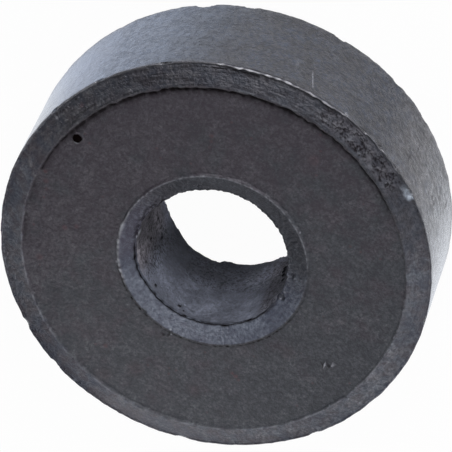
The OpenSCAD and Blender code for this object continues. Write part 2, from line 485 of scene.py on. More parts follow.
def wanted_edge(middles, sizes):
    """The longest edge wanted at each place, in mm."""
    x, y, z = middles.T
    r, theta = np.hypot(x, y), np.arctan2(y, x)
    wanted = np.full(len(middles), PLAIN_EDGE)
    wanted[coarse_zone(theta, r, z, sizes) > 0.3] = WORM_EDGE
    flash = (r > sizes.outer_r - 0.3) & (z > sizes.height - 0.8)
    wanted[flash & (stretch(theta, 255, 292, 2) > 0.5)] = FLASH_EDGE
    crack = (r < sizes.bore_r + 0.25) & (z > sizes.height - 0.9)
    wanted[crack & (stretch(theta, 5, 185, 5) > 0.5)] = CRACK_EDGE
    for *point, d, _ in pits(sizes):
        wanted[gap_to(middles, *point) < 0.75 * d] = PIT_EDGE
    for *point, d, cut in SCOOPS:
        near = gap_to(middles, *point) < math.sqrt(max(cut * (d - cut), 0)) + 0.1
        wanted[near] = np.minimum(wanted[near], SCOOP_EDGE)
    for a, radius, height, d, *_ in LUMPS + PALE_CHIPS_AND_GLINTS:
        wanted[gap_to(middles, a, radius, height) < d] = PIT_EDGE
    return wanted


def scoop(places, centre, radius, roughness):
    """Move the places inside a ball out to its surface, and return how deep each was."""
    away = places - centre
    gap = np.linalg.norm(away, axis=1)
    reach = radius * (1 + roughness)
    inside = gap < reach
    places[inside] = centre + away[inside] * (reach[inside] / np.maximum(gap[inside], 1e-6))[:, None]
    return np.where(inside, reach - gap, 0)


def cut_flaws(places, normals, sizes):
    """Cut the chips, pits and pores into the places, and return how deep each place now lies, which sets
    how dark its painted shade is.
    """
    depth = np.zeros(len(places))
    for a, radius, height, d, cut in SCOOPS:
        near = gap_to(places, a, radius, height) < d
        outward = np.array([0, 0, 1.0])
        if radius > sizes.outer_r / 2:
            outward = at(a, 1, 1 if height > sizes.height / 2 else -1) / math.sqrt(2)
        centre = at(a, radius, height) + outward * (d / 2 - cut)
        local = places[near]
        rough = 0.05 * field(local, 0.3, 2, 3)
        depth[near] = np.maximum(depth[near], 0.6 * scoop(local, centre, d / 2, rough))
        places[near] = local
    for *point, d, cut in pits(sizes):
        gap = gap_to(places, *point)
        near = gap < d
        ragged = gap[near] * (1 + (0.10 if cut > 0.5 else 0.35) * field(places[near], 0.2, 2, 5))
        sunk = cut * ease((0.5 * d - ragged) / (0.22 * d))
        places[near] -= normals[near] * sunk[:, None]
        dark = FULL_DARK if cut > DEEP_PIT else FAINT_DARK
        depth[near] = np.maximum(depth[near], np.maximum(sunk, dark * sunk / cut))
    return depth


def raise_lumps(places, normals):
    """Raise the lumps of powder."""
    for *point, d in LUMPS:
        gap = gap_to(places, *point)
        near = gap < 0.7 * d
        bulge = 0.28 * d * unit(1 - gap[near] / (0.7 * d)) * (1 + 0.5 * field(places[near], 0.12, 2, 8))
        places[near] += normals[near] * bulge[:, None]


# ---------------------------------------------------------------- the mesh


def crowd(count):
    """Angles of the columns, which stand closer together on the side with the coarse rim."""
    grid = np.linspace(0, TAU, 4001)
    density = 1 + 1.1 * stretch(grid, 225, 335, 40)
    filled = np.concatenate([[0], np.cumsum((density[1:] + density[:-1]) / 2)])
    return np.interp(np.arange(count) / count, filled / filled[-1], grid)


def lathe(section):
    """The section turned round Z as (places along it, angles, faces)."""
    along, theta, faces, starts = [], [], [], []
    for mark, columns in section.rows():
        starts.append((len(along), columns))
        along += [mark] * columns
        theta += list(crowd(columns))
    for (a, n), (b, m) in zip(starts, starts[1:] + starts[:1]):
        faces += zip_rows(a, n, b, m)
    return np.array(along), np.array(theta), faces


def zip_rows(a, n, b, m):
    """Faces between a row of n vertices from index a and one of m from index b. The larger count is a
    whole multiple of the smaller."""
    if n == m:
        return [(a + i, a + (i + 1) % n, b + (i + 1) % n, b + i) for i in range(n)]
    if n > m:
        return [tuple(reversed(face)) for face in zip_rows(b, m, a, n)]
    k = m // n
    found = []
    for i in range(n):
        here, there = a + i, a + (i + 1) % n
        fine = [b + (i * k + j) % m for j in range(k + 1)]
        half = k // 2
        found += [(here, fine[j + 1], fine[j]) for j in range(half)]
        found.append((here, there, fine[half]))
        found += [(there, fine[j + 1], fine[j]) for j in range(half, k)]
    return found


def read(items, name, width, kind=float):
    """A property of every item, one row each."""
    found = np.empty(len(items) * width, dtype=kind)
    items.foreach_get(name, found)
    return found.reshape(-1, width)


def turned(r, theta, z):
    """Places from their radii, angles and heights."""
    return np.stack([r * np.cos(theta), r * np.sin(theta), z], axis=1)


def write_places(mesh, places):
    """Put places in mm into the mesh."""
    mesh.vertices.foreach_set("co", (places * MM).ravel())
    mesh.update()


def refine(mesh, sizes, passes=4, slack=1.35):
    """Split the edges that are longer than wanted where they lie, by more than the slack."""
    for _ in range(passes):
        places = read(mesh.vertices, "co", 3) / MM
        ends = read(mesh.edges, "vertices", 2, int)
        span = np.linalg.norm(places[ends[:, 0]] - places[ends[:, 1]], axis=1)
        middles = (places[ends[:, 0]] + places[ends[:, 1]]) / 2
        long = np.nonzero(span > slack * wanted_edge(middles, sizes))[0]
        if not len(long):
            break
        bm = bmesh.new()
        bm.from_mesh(mesh)
        bm.edges.ensure_lookup_table()
        bmesh.ops.subdivide_edges(bm, edges=[bm.edges[i] for i in long], cuts=1, use_grid_fill=True)
        bmesh.ops.triangulate(bm, faces=[f for f in bm.faces if len(f.verts) > 4])
        bm.to_mesh(mesh)
        bm.free()


def layer(mesh, name, values):
    """Store one number a vertex on the mesh, for the material."""
    store = mesh.attributes.get(name) or mesh.attributes.new(name, "FLOAT", "POINT")
    store.data.foreach_set("value", values.astype(np.float32))


def ring_mesh(sizes):
    """The ring's mesh, with its flaws and the masks that the material reads, painted light and shade among
    them.
    """
    section = Section(sizes)
    along, theta, faces = lathe(section)
    r, z = section.points(along, theta)
    mesh = bpy.data.meshes.new(NODE)
    mesh.from_pydata((turned(r, theta, z) * MM).tolist(), [], faces)
    layer(mesh, "along", along)
    refine(mesh, sizes)

    places = read(mesh.vertices, "co", 3)
    along = read(mesh.attributes["along"].data, "value", 1)[:, 0]
    theta = np.arctan2(places[:, 1], places[:, 0])
    r, z = section.points(along, theta)
    places = turned(r, theta, z)
    write_places(mesh, places)
    normals = read(mesh.vertices, "normal", 3)

    zone = coarse_zone(theta, r, z, sizes)
    band = (z > sizes.height / 2) & (r > sizes.outer_r - sizes.rim_bevel_w)
    worm = np.zeros(len(places))
    marked = zone > 0.01
    worm[marked] = worms(places[marked], theta[marked], r[marked], 0.20) * zone[marked]
    relief = 0.006 * field(places, 0.25, 3) + 0.008 * field(places, 1.6, 2, 2) - 0.05 * worm + 0.015 * zone
    relief += band * 0.010 * field(places, 0.35, 2, 4)
    places += normals * relief[:, None]
    # How dark the pits, pores and chips are painted, from how deep they are
    deep = cut_flaws(places, normals, sizes) / FULL_DARK
    raise_lumps(places, normals)
    places[:, 2] = np.clip(places[:, 2], 0, sizes.height)
    write_places(mesh, places)

    # The shine layer is a painted glint along the tip of the rim's flash
    tip = unit(1 - (section.rim_tip(theta) - z) / 0.08) * unit((r - sizes.outer_r + 0.13) / 0.04)
    patchy = np.clip(0.42 + 0.9 * flash_beads(theta), 0.06, 1)
    tall = stretches(theta, (1, 265, 290, 3), (0.4, 254, 262, 3))
    layer(mesh, "shine", tip * (tall * patchy + 0.14 * stretch(theta, 237, 350, 8)))
    # The deep layer: painted shade in pits, pores and cracks, and painted shadow lines
    shade = shaded_edges(theta, r, z, sizes)
    layer(mesh, "deep", unit(np.maximum.reduce([deep, 0.85 * worm, shade])))
    # The lip layer: painted highlights on the lips, with pale chips and painted glints
    layer(mesh, "lip", np.maximum(lip_highlight(theta, r, z, sizes), pale_chips_and_glints(places)))
    layer(mesh, "coarse", zone)
    mesh.attributes.remove(mesh.attributes["along"])
    mesh.validate()
    mesh.shade_smooth()
    return mesh


def shaded_edges(theta, r, z, sizes):
    """Painted shade, 0 to 1: the shadow in the groove between bore and bevel, the one at the foot of the
    rim's lip, and the one beside the bore's lip on the far side.
    """
    deck = (z > sizes.height / 2) & (z < sizes.height - 0.02)
    bevel_foot = sizes.height - sizes.bore_bevel_h
    middle = sizes.bore_r + 0.8 * sizes.bore_flash_w + bore_lean(theta, 1) + 0.03 * wave(theta, 8, 60, 73)
    # Painted shadow of the bore's flash in the groove at the foot of the bevel
    groove = ridge(r - middle, 0.08 + 0.025 * wave(theta, 8, 50, 74))
    groove *= (r < sizes.bore_r + 0.5) & (z < sizes.height - 0.5)
    groove *= unit((z - bevel_foot + 0.04) / 0.06) * np.clip(1.0 + 0.25 * wave(theta, 10, 60, 72), 0, 1.2)
    groove *= stretches(theta, (1, 22, 150, 14), (0.4, 160, 174, 6))

    # Painted shadow at the foot of the rim's lip
    foot = sizes.outer_r - sizes.rim_bevel_w - sizes.land_w - 0.9 * sizes.slope_w
    ragged = 0.015 + 0.03 * stretch(theta, 225, 300, 15)
    ragged = ragged * wave(theta, 40, 200, 75) + 0.04 * wave(theta, 8, 40, 79)
    swell = 0.6 + stretches(theta, (0.30, 256, 322, 22), (-0.15, 345, 374, 10))
    off = r - foot + ragged + 0.03
    moat = deck * np.minimum(ridge(off, 0.16 * swell) + 0.36 * ridge(off + 0.12, 0.26 * swell), 1)
    moat *= 0.58 + stretches(theta, (0.20, 262, 334, 14), (0.1, 344, 374, 8))
    moat *= unit(stretches(theta, (1, 228, 350, 10), (0.8, 350, 374, 8)))
    dotted = stretch(theta, 357, 374, 6)
    dots = 0.8 * wave(theta, 12, 90, 85) - 0.6
    moat *= unit(0.95 + 0.4 * wave(theta, 30, 160, 76) + dotted * dots)

    bore_foot = sizes.bore_r + sizes.bore_bevel_w + sizes.land_w + sizes.slope_w
    # Painted shadow beside the bore's lip on the far side of the face
    inner = deck * ridge(r - bore_foot + 0.5 * ragged, 0.07)
    inner *= stretch(theta, 40, 165, 15) * unit(0.35 + 0.6 * wave(theta, 20, 140, 80))
    return np.maximum.reduce([groove, moat, inner])


def lip_highlight(theta, r, z, sizes):
    """Painted highlights, in beads, 0 to 1: where the lips round the bore and inside the far rim are drawn
    bright as lit.
    """
    left = stretch(theta, 5, 35, 10)
    bore_lip = sizes.bore_r + sizes.bore_bevel_w + 0.5 * sizes.land_w
    beads = unit(0.24 + 0.2 * wave(theta, 15, 110, 77) + 0.15 * wave(theta, 3, 14, 81)
                 + left * (0.35 + 0.8 * wave(theta, 20, 120, 82)))
    near = ridge(r - bore_lip - 0.05 * left, 0.045 + 0.05 * left) * beads * stretch(theta, 212, 392, 15)
    rim_lip = sizes.outer_r - sizes.rim_bevel_w - 0.5 * sizes.land_w
    far = ridge(r - rim_lip, 0.06) * unit(0.16 + 0.2 * wave(theta, 10, 90, 83))
    return np.maximum(near, far * stretch(theta, 20, 165, 15)) * (z > sizes.height - 0.12)


def pale_chips_and_glints(places):
    """Where the small pale chips and the painted glints are, 0 to 1."""
    found = [pale * unit(1.6 - 2 * gap_to(places, *point) / wide) for *point, wide, pale in PALE_CHIPS_AND_GLINTS]
    return np.maximum.reduce(found)


def new_object(name, data):
    """A new object in the scene."""
    made = bpy.data.objects.new(name, data)
    bpy.context.scene.collection.objects.link(made)
    return made


def make_piece(name, mesh):
    """A new piece of the object that rides on its body and stands for its node."""
    piece = new_object(name, mesh)
    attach(piece, BODY)
    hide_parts(NODE)


# ---------------------------------------------------------------- shader maths


class Graph:
    """A shader tree, and the one way that nodes are added to it."""

    def __init__(self, tree):
        tree.nodes.clear()
        self.tree = tree

    def add(self, kind, settings=None, inputs=None, output=0):
        """A new node as the Wire of one of its outputs. Its settings are set first, then its inputs."""
        node = self.tree.nodes.new("ShaderNode" + kind)
        for key, value in (settings or {}).items():
            setattr(node, key, value)
        for key, value in (inputs or {}).items():
            if isinstance(value, Wire):
                self.tree.links.new(value.socket, node.inputs[key])
            else:
                node.inputs[key].default_value = value
        return Wire(self, node.outputs[output]) if len(node.outputs) else None

    def outputs(self, wire, *names):
        """More outputs of a wire's node."""
        return [Wire(self, wire.socket.node.outputs[name]) for name in names]

    def math(self, operation, *values):
        """A Math node on wires or numbers."""
        return self.add("Math", {"operation": operation}, dict(enumerate(values)))

    def vectors(self, operation, *values, output=0):
        """A Vector Math node. Its output 1 is a number."""
        return self.add("VectorMath", {"operation": operation}, dict(enumerate(values)), output)

    def vector(self, x, y, z):
        """Three numbers as one vector."""
        return self.add("CombineXYZ", None, {0: x, 1: y, 2: z})

    def mix(self, share, first, second, blend="MIX"):
        """A colour that goes from the first to the second."""
        inputs = {0: share, 6: rgba(first), 7: rgba(second)}
        return self.add("Mix", {"data_type": "RGBA", "blend_type": blend}, inputs, 2)


def maths(operation, swapped=False):
    """A method of Wire that adds one Math node on the wire and another value."""
    def method(self, other):
        return self.graph.math(operation, *((other, self) if swapped else (self, other)))
    return method


class Wire:
    """One output socket. Python's operators on it add Math nodes."""

    def __init__(self, graph, socket):
        self.graph = graph
        self.socket = socket

    __add__ = __radd__ = maths("ADD")
    __sub__, __rsub__ = maths("SUBTRACT"), maths("SUBTRACT", swapped=True)
    __mul__ = __rmul__ = maths("MULTIPLY")
    __truediv__, __rtruediv__ = maths("DIVIDE"), maths("DIVIDE", swapped=True)
    # The larger of the two
    most = maths("MAXIMUM")

    def __abs__(self):
        return self.graph.math("ABSOLUTE", self)

    def root(self):
        """The square root."""
        return self.graph.math("SQRT", self)

    def step(self, low, high):
        """0 below low and 1 above high, smooth between them. With low above high it falls instead."""
        settings = {"interpolation_type": "SMOOTHSTEP"}
        return self.graph.add("MapRange", settings, {"Value": self, "From Min": low, "From Max": high})


def rgba(value):
    """A colour as four numbers. A wire stays as it is."""
    return value if isinstance(value, Wire) else (*value, 1.0)


# ---------------------------------------------------------------- the finish

# The mesh's layers that the finish reads: the painted glint on the flash, painted shade in hollows and
# shadow lines, the coarse zone, and painted highlights of the lips with pale chips and glints
LAYERS = ("shine", "deep", "coarse", "lip")

# Painted light and shade: where parts are drawn lighter or darker toward one side of the ring: part, by
# how much, side of the ring as angle, half width and fade in degrees, and where in r or z it sets in, in mm
PAINTED_SHADING = (
    ("flat_face", -0.20, (322, 20, 14), ("r", 10.9, 12.2)),
    ("flat_face", 0.18, (155, 60, 30), ("r", 11.0, 12.3)),
    ("upper_rim", -0.45, (271, 43, 32)),
    ("rim", -0.35, (54, 8, 14)),
    ("rim", -0.30, (72, 32, 14)),
    ("rim", -0.15, (112, 26, 12)),
    ("rim", 0.50, (180, 22, 25)),
    ("bore_bevel", 0.22, (76, 18, 16)),
    ("bore_bevel", -0.32, (172, 12, 14)),
    ("bore_bevel", -0.72, (262, 55, 40)),
    ("bore_bevel", -0.40, (357, 23, 26)),
)

# The same painted light and shade for the bore's wall, with its painted shadow low on the far side
BORE_PAINTED_SHADING = (
    ("bore_wall", 0.35, (36, 10, 12), ("z", 4.0, 5.6)),
    ("bore_wall", -0.22, (85, 25, 20), ("z", 4.2, 2.8)),
    ("bore_wall", -0.14, (112, 34, 12), ("z", 5.8, 6.8)),
)

# Stains of unreacted iron on the upper face: angle, radius, how wide, how strong
STAINS = (
    (120, 8.55, 0.24, 1), (118.6, 8.3, 0.2, 0.8), (120.8, 8.82, 0.18, 0.7), (354, 12.05, 0.22, 0.8),
    (357, 11.75, 0.28, 0.8), (359.6, 11.5, 0.2, 0.6), (12.3, 9.75, 0.28, 0.7), (10.5, 9, 0.26, 0.6),
    (25.3, 11.4, 0.36, 0.6), (290.4, 9, 0.22, 0.8), (290.6, 8.65, 0.2, 0.6), (291.2, 8.2, 0.18, 0.4),
    (65.2, 10.1, 0.26, 0.7), (72.2, 11.9, 0.9, 0.22), (79.1, 10.1, 0.9, 0.26), (102.4, 9.96, 0.6, 0.24),
    (148.1, 7.9, 0.8, 0.2), (251, 10.3, 0.6, 0.35), (329.5, 13.3, 0.34, 0.9),
)

# The fresh break on the rim: angle, radius, height, how wide, how pale
FRESH = (
    (228.1, 13.76, 8.53, 0.34, 0.35), (227, 13.78, 8.52, 0.36, 0.45),
    (225.9, 13.8, 8.51, 0.4, 0.75), (224.9, 13.8, 8.51, 0.3, 1),
)


class Surface(Graph):
    """The shader of the ring's surface: its parts, its grains and the mesh's layers, each 0 to 1."""

    def __init__(self, tree, sizes):
        super().__init__(tree)
        self.sizes = sizes
        coordinates = self.add("TexCoord", None, None, "Object")
        self.place = self.add("VectorMath", {"operation": "SCALE"}, {0: coordinates, "Scale": 1 / MM})
        self.x, self.y, self.z = self.outputs(self.add("SeparateXYZ", None, {0: self.place}), 0, 1, 2)
        self.r = (self.x * self.x + self.y * self.y).root()
        for name in LAYERS:
            setattr(self, name, self.add("Attribute", {"attribute_name": name}, None, "Fac"))
        self.find_parts()
        self.find_grains()

    def find_parts(self):
        """The bevels, the walls, the flat faces and the upper side."""
        sizes, r, half = self.sizes, self.r, self.sizes.height / 2
        outer_r, bore_r = sizes.outer_r, sizes.bore_r
        rim_land, bore_land = outer_r - sizes.rim_bevel_w, bore_r + sizes.bore_bevel_w
        rim_foot, bore_foot = half - sizes.rim_bevel_h, half - sizes.bore_bevel_h
        self.up = up = abs(self.z - half)
        crumbled = r + 0.6 * (self.noise(0.45, 3, 0.65, 23) - 0.5)
        self.rim = crumbled.step(rim_land - 0.14, rim_land + 0.02)
        self.rim = self.rim * up.step(rim_foot - 0.1, rim_foot + 0.05)
        self.outer_wall = r.step(outer_r - 0.2, outer_r - 0.1) * up.step(rim_foot + 0.15, rim_foot)
        under, over = bore_foot - 0.02, bore_foot + 0.1
        self.bore_bevel = r.step(bore_land + 0.06, bore_land - 0.04) * up.step(under, over)
        self.bore_wall = r.step(bore_r + 0.25, bore_r + 0.1) * up.step(over, under)
        self.walls = self.outer_wall.most(self.bore_wall)
        self.flat_face = (1 - self.rim) * (1 - self.walls) * (1 - self.bore_bevel)
        self.upper = self.z.step(half - 0.1, half + 0.1)
        self.upper_rim = self.rim * self.upper

    def find_grains(self):
        """Grains of several sizes, specks, and streaks round the ring and down the walls."""
        self.dust = self.noise(0.10, 2, 0.6, 1).step(0.3, 0.7)
        self.grain, self.blotch, self.drift = (self.noise(size, 2, 0.5, seed).step(0.3, 0.7)
                                               for size, seed in ((0.24, 2), (0.60, 3), (1.8, 4)))
        self.crumbs = self.cells(0.11, "Color", 12)
        self.patchy = self.noise(1.1, 4, 0.65, 11).step(0.36, 0.64)
        self.beaded = self.noise(0.35, 2, 0.6, 13)
        self.rings = self.streaks(3.5, self.r * 9 + self.up * 2, 2, 0.6, 5)
        self.drag = self.noise(1.0, 2, 0.6, 6, self.vector(self.x * 4, self.y * 4, self.z * 2.6))
        self.specks, self.chosen = self.cells(0.55, "Distance", 7), self.cells(0.55, "Color", 7)
        self.dark_speck = self.specks.step(0.20, 0.08) * self.chosen.step(0.18, 0.16)

    def noise(self, grain, detail, roughness, seed, place=None):
        """Fractal noise from 0 to 1 with grains of the given size in mm."""
        moved = self.vectors("ADD", place or self.place, (seed * 17.3, seed * 9.1, seed * 5.3))
        inputs = {"Vector": moved, "Scale": 1 / grain, "Detail": detail, "Roughness": roughness}
        return self.add("TexNoise", None, inputs)

    def cells(self, grain, output, seed):
        """Cells of the given size in mm: how far each place is from its cell's middle, or its colour."""
        moved = self.vectors("ADD", self.place, (seed * 13.7, seed * 7.9, seed * 3.1))
        return self.add("TexVoronoi", None, {"Vector": moved, "Scale": 1 / grain}, output)

    def streaks(self, turns, across, *look):
        """Noise drawn out round the ring."""
        run = self.vector(self.x / self.r * turns, self.y / self.r * turns, across)
        return self.noise(1.0, *look, run)

    def toward(self, angle_deg, full_deg, fade_deg):
        """1 within full_deg of an angle round the ring, falling to 0 over fade_deg more."""
        a, full, none = (math.radians(angle) for angle in (angle_deg, full_deg, full_deg + fade_deg))
        facing = (self.x * math.cos(a) + self.y * math.sin(a)) / self.r
        return facing.step(math.cos(none), math.cos(full))

    def level(self, start, low, high, end):
        """1 from the height low to high, falling to 0 at start and end."""
        return self.z.step(start, low) * self.z.step(end, high)

    def near(self, point, wide, core):
        """1 in the core of a spot at an angle, a radius and a height, falling to 0 at wide mm from it."""
        return self.vectors("DISTANCE", self.place, tuple(at(*point)), output=1).step(wide, core * wide)

    def shaded(self, tone, shades):
        """A tone, with painted light and shade where the table says."""
        for part, share, side, *ramps in shades:
            where = getattr(self, part) * self.toward(*side)
            for axis, low, high in ramps:
                where = where * getattr(self, axis).step(low, high)
            tone = tone * (1 + share * where)
        return tone


def base_tone(on):
    """How light the ferrite is against its own colour, about 1: its grain, and painted light and shade on
    its sides.
    """
    lively = 0.9 + 0.60 * on.flat_face - 0.5 * on.bore_wall
    lively = lively + on.bore_bevel * (0.15 - 0.40 * on.toward(95, 65, 30))
    lively = lively + on.rim * (0.25 * on.toward(120, 50, 20) - 0.3 * on.toward(185, 30, 30))
    # Painted light: the whole ferrite drawn lighter toward +Y and a little toward -X
    tone = (0.955 + 0.0175 * on.y - 0.003 * on.x) * (1 + 0.5 * (on.drift - 0.5)) * (1 - 0.08 * on.rim)
    for grains, share in ((on.dust, 0.6), (on.grain, 1.1), (on.blotch, 0.65), (on.crumbs, 0.7)):
        tone = tone * (1 + share * (grains - 0.5) * lively)
    tone = tone * (1 - (0.30 * on.outer_wall + 0.12 * on.bore_wall) * (0.5 - on.drag))
    streaky = on.upper_rim * (0.3 + 0.7 * on.toward(278, 20, 25))
    return on.shaded(tone, PAINTED_SHADING) * (1 - 0.6 * streaky * on.rings.step(0.52, 0.38))


def bevel_marks(on):
    """Marks of the bevels, each 0 to 1: nicks at the bore, scuffs, dark lines with the painted shadow of
    the flash, and pale ones.
    """
    nicked = on.bore_bevel * on.toward(349, 17, 9) * on.r.step(5.55, 5.15)
    nicked = nicked * on.noise(0.28, 3, 0.65, 18).step(0.46, 0.55)
    scuffed = on.upper_rim * (0.6 * on.toward(221, 14, 8)).most(0.2 * on.toward(328, 14, 8))
    scuffed = scuffed * on.noise(0.38, 4, 0.7, 22).step(0.46, 0.54)
    combed = on.streaks(5, on.r * 8, 1, 0.5, 14)
    marked = on.upper_rim * on.toward(296, 38, 8)
    pale = marked * combed.step(0.56, 0.62) * on.beaded.step(0.60, 0.50)
    lines_and_flash_shadow = marked * combed.step(0.47, 0.40) * on.beaded.step(0.36, 0.50)
    # Painted shadow of the rim's flash on the bevel just inside it, joined to the dark streak lines
    inside = abs(on.r - (on.sizes.outer_r - 0.33)).step(0.06, 0.02) * on.upper
    inside = inside * (0.25 * on.toward(268, 10, 6)).most(on.toward(285, 6, 4))
    lines_and_flash_shadow = 0.36 * lines_and_flash_shadow.most(2.0 * inside * on.beaded.step(0.38, 0.48))
    return nicked, scuffed, lines_and_flash_shadow, pale


def speckled(on, tone):
    """A tone with pale specks as painted glints, dark specks, and finer glints and dark specks between
    them.
    """
    glint_speck = on.specks.step(0.16, 0.06) * on.chosen.step(0.80, 0.82)
    tone = tone * (1 + 0.9 * glint_speck) * (1 - 0.6 * on.dark_speck)
    fine, picked = on.cells(0.20, "Distance", 8).step(0.42, 0.15), on.cells(0.20, "Color", 8)
    return tone * (1 + 0.5 * fine * picked.step(0.86, 0.90)) * (1 - 0.5 * fine * picked.step(0.26, 0.22))


def bore_light_and_dirt(on):
    """The bore's painted light and dirt, each 0 to 1: its lighter sides, painted bounce light low down,
    specks of soot, smears.
    """
    sides = 1 - on.toward(85, 15, 45)
    bounce_light = on.bore_wall * sides * on.z.step(5.0, 2.2)
    left = on.toward(22, 24, 14) * on.level(1.4, 2.4, 7.8, 8.2)
    right = on.toward(112, 30, 14) * on.level(0.8, 1.6, 3.8, 4.6)
    far_side = on.toward(156, 9, 8) * on.level(0.8, 1.6, 7.6, 8.4)
    soot = on.noise(0.20, 2, 0.6, 10).step(0.51, 0.59) * on.bore_wall
    soot = soot * left.most(0.7 * right).most(far_side)
    sooty = on.bore_wall * on.z.step(1.0, 2.6) * on.toward(14, 16, 18).most(0.5 * far_side)
    return sides, bounce_light, soot, sooty


def base_paint(on, finish, bounce_light, sooty):
    """The plain colour of each part of the surface, with painted sheen at the ends of the outside wall and
    painted bounce light low in the bore.
    """
    mix = on.mix
    edge = mix(0.8 * on.toward(323, 24, 16), finish.edge, finish.smoky)
    wall = mix(on.patchy, finish.wall, finish.worn)
    # Painted sheen at both grazing ends of the outside wall
    wall = mix(on.toward(211, 12, 20) * (0.45 + 0.5 * on.patchy), wall, finish.wall_end_sheen)
    wall = mix(0.7 * on.toward(331, 15, 16), wall, finish.other_wall_end_sheen)
    paint = mix(on.rim, finish.body, edge)
    paint = mix(on.outer_wall, paint, wall)
    paint = mix(on.bore_bevel, paint, finish.bore_bevel)
    paint = mix(on.bore_wall, paint, finish.bore_wall)
    paint = mix(0.6 * bounce_light, paint, finish.bounce_light)
    return mix(0.8 * sooty, paint, finish.sooty)


def tint(on, finish):
    """The faint casts of colour that are added to the faces, the rim and the bore's bevel."""
    mix = on.mix
    leaning = on.noise(1.8, 3, 0.65, 9) + 0.012 * on.y - 0.012 * on.x
    face = mix(leaning.step(0.34, 0.66), finish.warm_cast, finish.cool_cast)
    rim = mix(on.noise(0.9, 3, 0.65, 17).step(0.36, 0.64), finish.rim_warm, finish.rim_cool)
    rim = mix(0.65 * on.toward(278, 50, 30), rim, finish.cool_cast)
    bevel = mix(0.8 * on.toward(350, 26, 14), finish.bevel_cast, finish.bevel_warm)
    return mix(on.bore_bevel, mix(on.rim, face, rim), bevel)


def marks_over(on, finish, deep):
    """What lies over the paint, in order, as (share, colour): stains, crumbs, breaks and crevices."""
    stain = 0.0
    for angle_deg, radius, wide, strong in STAINS:
        point = (angle_deg, radius, on.sizes.height - on.sizes.face_sink)
        stain = on.near(point, wide, 0.2) * strong + stain
    ruddy = on.specks.step(0.24, 0.10) * abs(on.chosen - 0.5).step(0.035, 0.025) * on.flat_face
    crumbly = on.upper_rim * on.toward(150, 14, 10) * on.beaded.step(0.54, 0.64)
    return (
        (on.upper * (stain * (0.40 + 0.60 * on.grain)).most(0.45 * ruddy), finish.rust),
        (0.10 * on.coarse * on.dust, finish.rust),
        (on.grain * (0.16 * on.coarse * on.blotch).most(0.22 * crumbly), finish.lip),
        *((on.near(point, wide, 0.1) * pale * (0.55 + 0.9 * on.grain), finish.fresh)
          for *point, wide, pale in FRESH),
        # Painted lip highlights, pale chips and painted glints
        (on.lip, finish.lip),
        # Painted shade in hollows and shadow lines, with soot
        (deep, finish.shade_and_grime),
        # Painted glint on the flash
        (on.shine, finish.flash_glint),
    )


def gloss(on, deep):
    """(roughness, coat weight). The die polished the walls, and grit dulls the outside one."""
    dragged = on.streaks(9, on.z * 3, 3, 0.65, 15).step(0.58, 0.38)
    dragged = dragged * on.outer_wall * on.toward(216, 12, 9)
    grit = 0.22 * (on.dust + on.crumbs) + 0.56 * on.noise(0.34, 2, 0.6, 21).step(0.36, 0.64)
    middle = on.toward(247, 20, 34)
    rough = 0.62 - 0.24 * on.bore_wall - 0.34 * on.outer_wall - 0.12 * on.rim - 0.14 * on.bore_bevel
    rough = rough + 0.10 * (on.grain - 0.5) - 0.30 * on.shine + 0.2 * deep + 0.14 * dragged
    rough = rough + on.outer_wall * (0.30 * (grit - 0.5) - 0.08 * (1 - middle))
    ends = 1 - 0.6 * on.toward(190, 12, 14).most(on.toward(342, 10, 14))
    matt = 0.45 * middle - 0.24 * on.toward(270, 10, 14)
    matt = matt + ends * (0.22 * on.patchy + 0.20 * on.grain + 0.80 * grit)
    coat = on.outer_wall * (1.38 - matt) - 0.14 * dragged
    return rough, 1 - (1 - coat).most(0)


def new_material(name):
    """A material and its shader tree."""
    material = bpy.data.materials.new(name)
    material.use_nodes = True
    return material, material.node_tree


